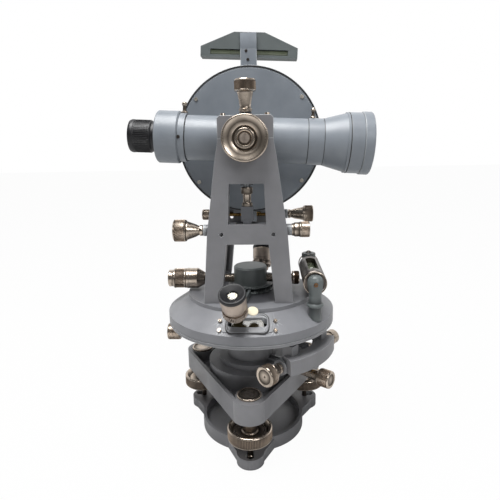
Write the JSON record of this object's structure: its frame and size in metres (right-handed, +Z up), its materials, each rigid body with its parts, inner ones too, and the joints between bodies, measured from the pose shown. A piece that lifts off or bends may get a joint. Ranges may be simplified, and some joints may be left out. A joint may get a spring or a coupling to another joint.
{
  "type": "vernier theodolite",
  "caption": "Transit vernier theodolite: levelling base, double plate with verniers, open standards, telescope, vertical circle and spirit levels.",
  "frame": {"origin": "on the vertical axis at the underside of the foot plate", "axes": "+Z up the vertical axis, +X towards the objective at rest, -Y towards the front standard"},
  "size_m": [0.2049, 0.1831, 0.3609],
  "materials": {
    "grey_paint": "satin grey-blue enamel",
    "green_paint": "satin greenish grey enamel",
    "dark_paint": "satin dark grey enamel",
    "nickel": "polished nickel plate with knurled grips",
    "steel": "turned steel",
    "brass": "turned brass",
    "silvered": "silvered graduated metal",
    "black": "black moulding",
    "glass": "clear glass"
  },
  "bodies": {
    "base": {"base_casting": "grey_paint"},
    "foot_screw_front": {"foot_screw_front": "nickel"},
    "foot_screw_right": {"foot_screw_right": "nickel"},
    "foot_screw_left": {"foot_screw_left": "nickel"},
    "tribrach": {"tribrach": "grey_paint", "foot_screw_bushes": "nickel"},
    "tribrach_lock_screw": {"tribrach_lock_screw": "nickel"},
    "lower_plate": {"outer_spindle": "steel", "lower_plate": "grey_paint", "horizontal_circle": "silvered", "lower_tangent_bracket": "grey_paint", "lower_spring_box": "nickel"},
    "lower_clamp_arm": {"lower_clamp_arm": "dark_paint"},
    "lower_clamp_screw": {"lower_clamp_screw": "nickel"},
    "lower_tangent_knob": {"lower_tangent_knob": "nickel"},
    "lower_tangent_pins": {"lower_tangent_pins": "brass"},
    "alidade": {"inner_spindle": "steel", "vernier_plate": "grey_paint", "window_frames": "green_paint", "plate_verniers": "silvered", "alidade_screws": "nickel", "plummet_housing": "green_paint", "front_standard": "grey_paint", "rear_standard": "grey_paint", "bearing_caps": "grey_paint", "plate_level_mount": "green_paint", "plate_level_tube": "nickel", "plate_level_vial": "glass", "upper_tangent_bracket": "grey_paint", "spring_boxes": "nickel"},
    "plummet_eyepiece": {"plummet_eyepiece": "nickel"},
    "upper_clamp_shoe": {"upper_clamp_shoe": "dark_paint"},
    "upper_clamp_screw": {"upper_clamp_screw": "nickel"},
    "upper_tangent_knob": {"upper_tangent_knob": "nickel"},
    "upper_tangent_pins": {"upper_tangent_pins": "brass"},
    "magnifiers": {"magnifier_carrier": "green_paint", "plate_magnifiers": "green_paint", "magnifier_cups": "black", "magnifier_lenses": "glass"},
    "vertical_clamp_arm": {"vertical_clamp_arm": "dark_paint"},
    "vertical_clamp_screw": {"vertical_clamp_screw": "nickel"},
    "vertical_tangent_knob": {"vertical_tangent_knob": "nickel"},
    "vertical_tangent_pins": {"vertical_tangent_pins": "brass"},
    "index_frame": {"index_frame": "grey_paint", "circle_cover": "grey_paint", "vertical_verniers": "silvered", "altitude_level_case": "green_paint", "altitude_level_vial": "glass"},
    "clip_knob": {"clip_knob": "nickel"},
    "clip_pins": {"clip_pins": "brass"},
    "telescope": {"trunnion_axle": "steel", "vertical_circle": "silvered", "telescope_tube": "grey_paint", "objective_mount": "grey_paint", "objective_lens": "glass", "sights": "nickel"},
    "eyepiece_ring": {"eyepiece_ring": "black"},
    "eyepiece_cell": {"eyepiece_cell": "steel"},
    "focusing_knob": {"focusing_knob": "nickel"},
    "focusing_cell": {"focusing_cell": "brass"}
  },
  "joints": [
    {"name": "foot_front_turn", "type": "hinge", "parent": "base", "child": "foot_screw_front", "pos_m": [0, -0.059, 0.0277], "axis": [0, 0, 1], "range_deg": [-720, 720]},
    {"name": "foot_right_turn", "type": "hinge", "parent": "base", "child": "foot_screw_right", "pos_m": [0.0511, 0.0295, 0.0277], "axis": [0, 0, 1], "range_deg": [-720, 720]},
    {"name": "foot_left_turn", "type": "hinge", "parent": "base", "child": "foot_screw_left", "pos_m": [-0.0511, 0.0295, 0.0277], "axis": [0, 0, 1], "range_deg": [-720, 720]},
    {"name": "tribrach_lift", "type": "slide", "parent": "base", "child": "tribrach", "axis": [0, 0, 1], "range_m": [-0.002, 0.002]},
    {"name": "tribrach_lock_turn", "type": "hinge", "parent": "tribrach", "child": "tribrach_lock_screw", "pos_m": [0.04854, -0.03527, 0.0676], "axis": [0.809, -0.5878, 0], "range_deg": [-180, 180]},
    {"name": "lower_plate_turn", "type": "hinge", "parent": "tribrach", "child": "lower_plate", "pos_m": [0, 0, 0.1], "axis": [0, 0, 1], "continuous": true},
    {"name": "lower_clamp_swing", "type": "hinge", "parent": "lower_plate", "child": "lower_clamp_arm", "pos_m": [0, 0, 0.0898], "axis": [0, 0, 1], "range_deg": [-2, 2]},
    {"name": "lower_clamp_turn", "type": "hinge", "parent": "lower_clamp_arm", "child": "lower_clamp_screw", "pos_m": [-0.06, 0, 0.0898], "axis": [-1, 0, 0], "range_deg": [-90, 90]},
    {"name": "lower_tangent_turn", "type": "hinge", "parent": "lower_plate", "child": "lower_tangent_knob", "pos_m": [0.0443, -0.03587, 0.0842], "axis": [0.6293, 0.7771, 0], "range_deg": [-1430, 1430]},
    {"name": "lower_tangent_push", "type": "slide", "parent": "lower_plate", "child": "lower_tangent_pins", "axis": [0.6293, 0.7771, 0], "range_m": [-0.002, 0.002]},
    {"name": "alidade_turn", "type": "hinge", "parent": "lower_plate", "child": "alidade", "pos_m": [0, 0, 0.12], "axis": [0, 0, 1], "continuous": true},
    {"name": "plummet_focus", "type": "hinge", "parent": "alidade", "child": "plummet_eyepiece", "pos_m": [-0.065, 0, 0.1412], "axis": [-1, 0, 0], "range_deg": [-120, 120]},
    {"name": "upper_clamp_swing", "type": "hinge", "parent": "alidade", "child": "upper_clamp_shoe", "pos_m": [0, 0, 0.1056], "axis": [0, 0, 1], "range_deg": [-1.41, 1.41]},
    {"name": "upper_clamp_turn", "type": "hinge", "parent": "upper_clamp_shoe", "child": "upper_clamp_screw", "pos_m": [0.00593, 0.08479, 0.1046], "axis": [0.0698, 0.9976, 0], "range_deg": [-90, 90]},
    {"name": "upper_tangent_turn", "type": "hinge", "parent": "alidade", "child": "upper_tangent_knob", "pos_m": [-0.04292, 0.06869, 0.1056], "axis": [-0.848, -0.5299, 0], "range_deg": [-1430, 1430]},
    {"name": "upper_tangent_push", "type": "slide", "parent": "alidade", "child": "upper_tangent_pins", "axis": [-0.848, -0.5299, 0], "range_m": [-0.002, 0.002]},
    {"name": "magnifier_swing", "type": "hinge", "parent": "alidade", "child": "magnifiers", "pos_m": [0, 0, 0.134], "axis": [0, 0, 1], "range_deg": [-6, 20]},
    {"name": "vertical_clamp_swing", "type": "hinge", "parent": "alidade", "child": "vertical_clamp_arm", "pos_m": [0, -0.0312, 0.2632], "axis": [0, 1, 0], "range_deg": [-1.6, 1.6]},
    {"name": "vertical_clamp_turn", "type": "hinge", "parent": "vertical_clamp_arm", "child": "vertical_clamp_screw", "pos_m": [0, -0.0312, 0.3032], "axis": [0, 0, 1], "range_deg": [-90, 90]},
    {"name": "vertical_tangent_turn", "type": "hinge", "parent": "alidade", "child": "vertical_tangent_knob", "pos_m": [-0.05, -0.0359, 0.1914], "axis": [1, 0, 0], "range_deg": [-1430, 1430]},
    {"name": "vertical_tangent_push", "type": "slide", "parent": "alidade", "child": "vertical_tangent_pins", "axis": [1, 0, 0], "range_m": [-0.002, 0.002]},
    {"name": "index_swing", "type": "hinge", "parent": "alidade", "child": "index_frame", "pos_m": [0, 0.043, 0.2632], "axis": [0, 1, 0], "range_deg": [-1.5, 1.5]},
    {"name": "clip_turn", "type": "hinge", "parent": "alidade", "child": "clip_knob", "pos_m": [0.05, 0.0542, 0.1914], "axis": [-1, 0, 0], "range_deg": [-1340, 1340]},
    {"name": "clip_push", "type": "slide", "parent": "alidade", "child": "clip_pins", "axis": [-1, 0, 0], "range_m": [-0.002, 0.002]},
    {"name": "telescope_tilt", "type": "hinge", "parent": "alidade", "child": "telescope", "pos_m": [0, 0, 0.2632], "axis": [0, 1, 0], "continuous": true},
    {"name": "eyepiece_turn", "type": "hinge", "parent": "telescope", "child": "eyepiece_ring", "pos_m": [0, 0, 0.2632], "axis": [-0.9986, 0, 0.0523], "range_deg": [-150, 150]},
    {"name": "eyepiece_slide", "type": "slide", "parent": "telescope", "child": "eyepiece_cell", "axis": [-0.9986, 0, 0.0523], "range_m": [-0.00235, 0.00235]},
    {"name": "focus_turn", "type": "hinge", "parent": "telescope", "child": "focusing_knob", "pos_m": [0, -0.045, 0.2632], "axis": [0, 1, 0], "range_deg": [-170, 170]},
    {"name": "focus_slide", "type": "slide", "parent": "telescope", "child": "focusing_cell", "axis": [0.9986, 0, -0.0523], "range_m": [-0.012, 0.012]}
  ],
  "couplings": [
    {"joint": "foot_front_turn", "follows": "tribrach_lift", "rad_per_m": -6283.2},
    {"joint": "foot_right_turn", "follows": "tribrach_lift", "rad_per_m": -6283.2},
    {"joint": "foot_left_turn", "follows": "tribrach_lift", "rad_per_m": -6283.2},
    {"joint": "lower_tangent_push", "follows": "lower_tangent_turn", "m_per_rad": 0.000079577},
    {"joint": "lower_clamp_swing", "follows": "lower_tangent_turn", "ratio": 0.0013961},
    {"joint": "upper_tangent_push", "follows": "upper_tangent_turn", "m_per_rad": 0.000079577},
    {"joint": "upper_clamp_swing", "follows": "upper_tangent_turn", "ratio": 0.00098244},
    {"joint": "vertical_tangent_push", "follows": "vertical_tangent_turn", "m_per_rad": 0.000079577},
    {"joint": "vertical_clamp_swing", "follows": "vertical_tangent_turn", "ratio": -0.0011083},
    {"joint": "clip_push", "follows": "clip_turn", "m_per_rad": 0.000079577},
    {"joint": "index_swing", "follows": "clip_turn", "ratio": 0.0011083},
    {"joint": "eyepiece_turn", "follows": "eyepiece_slide", "rad_per_m": 1111.1},
    {"joint": "focus_slide", "follows": "focus_turn", "m_per_rad": 0.004}
  ]
}
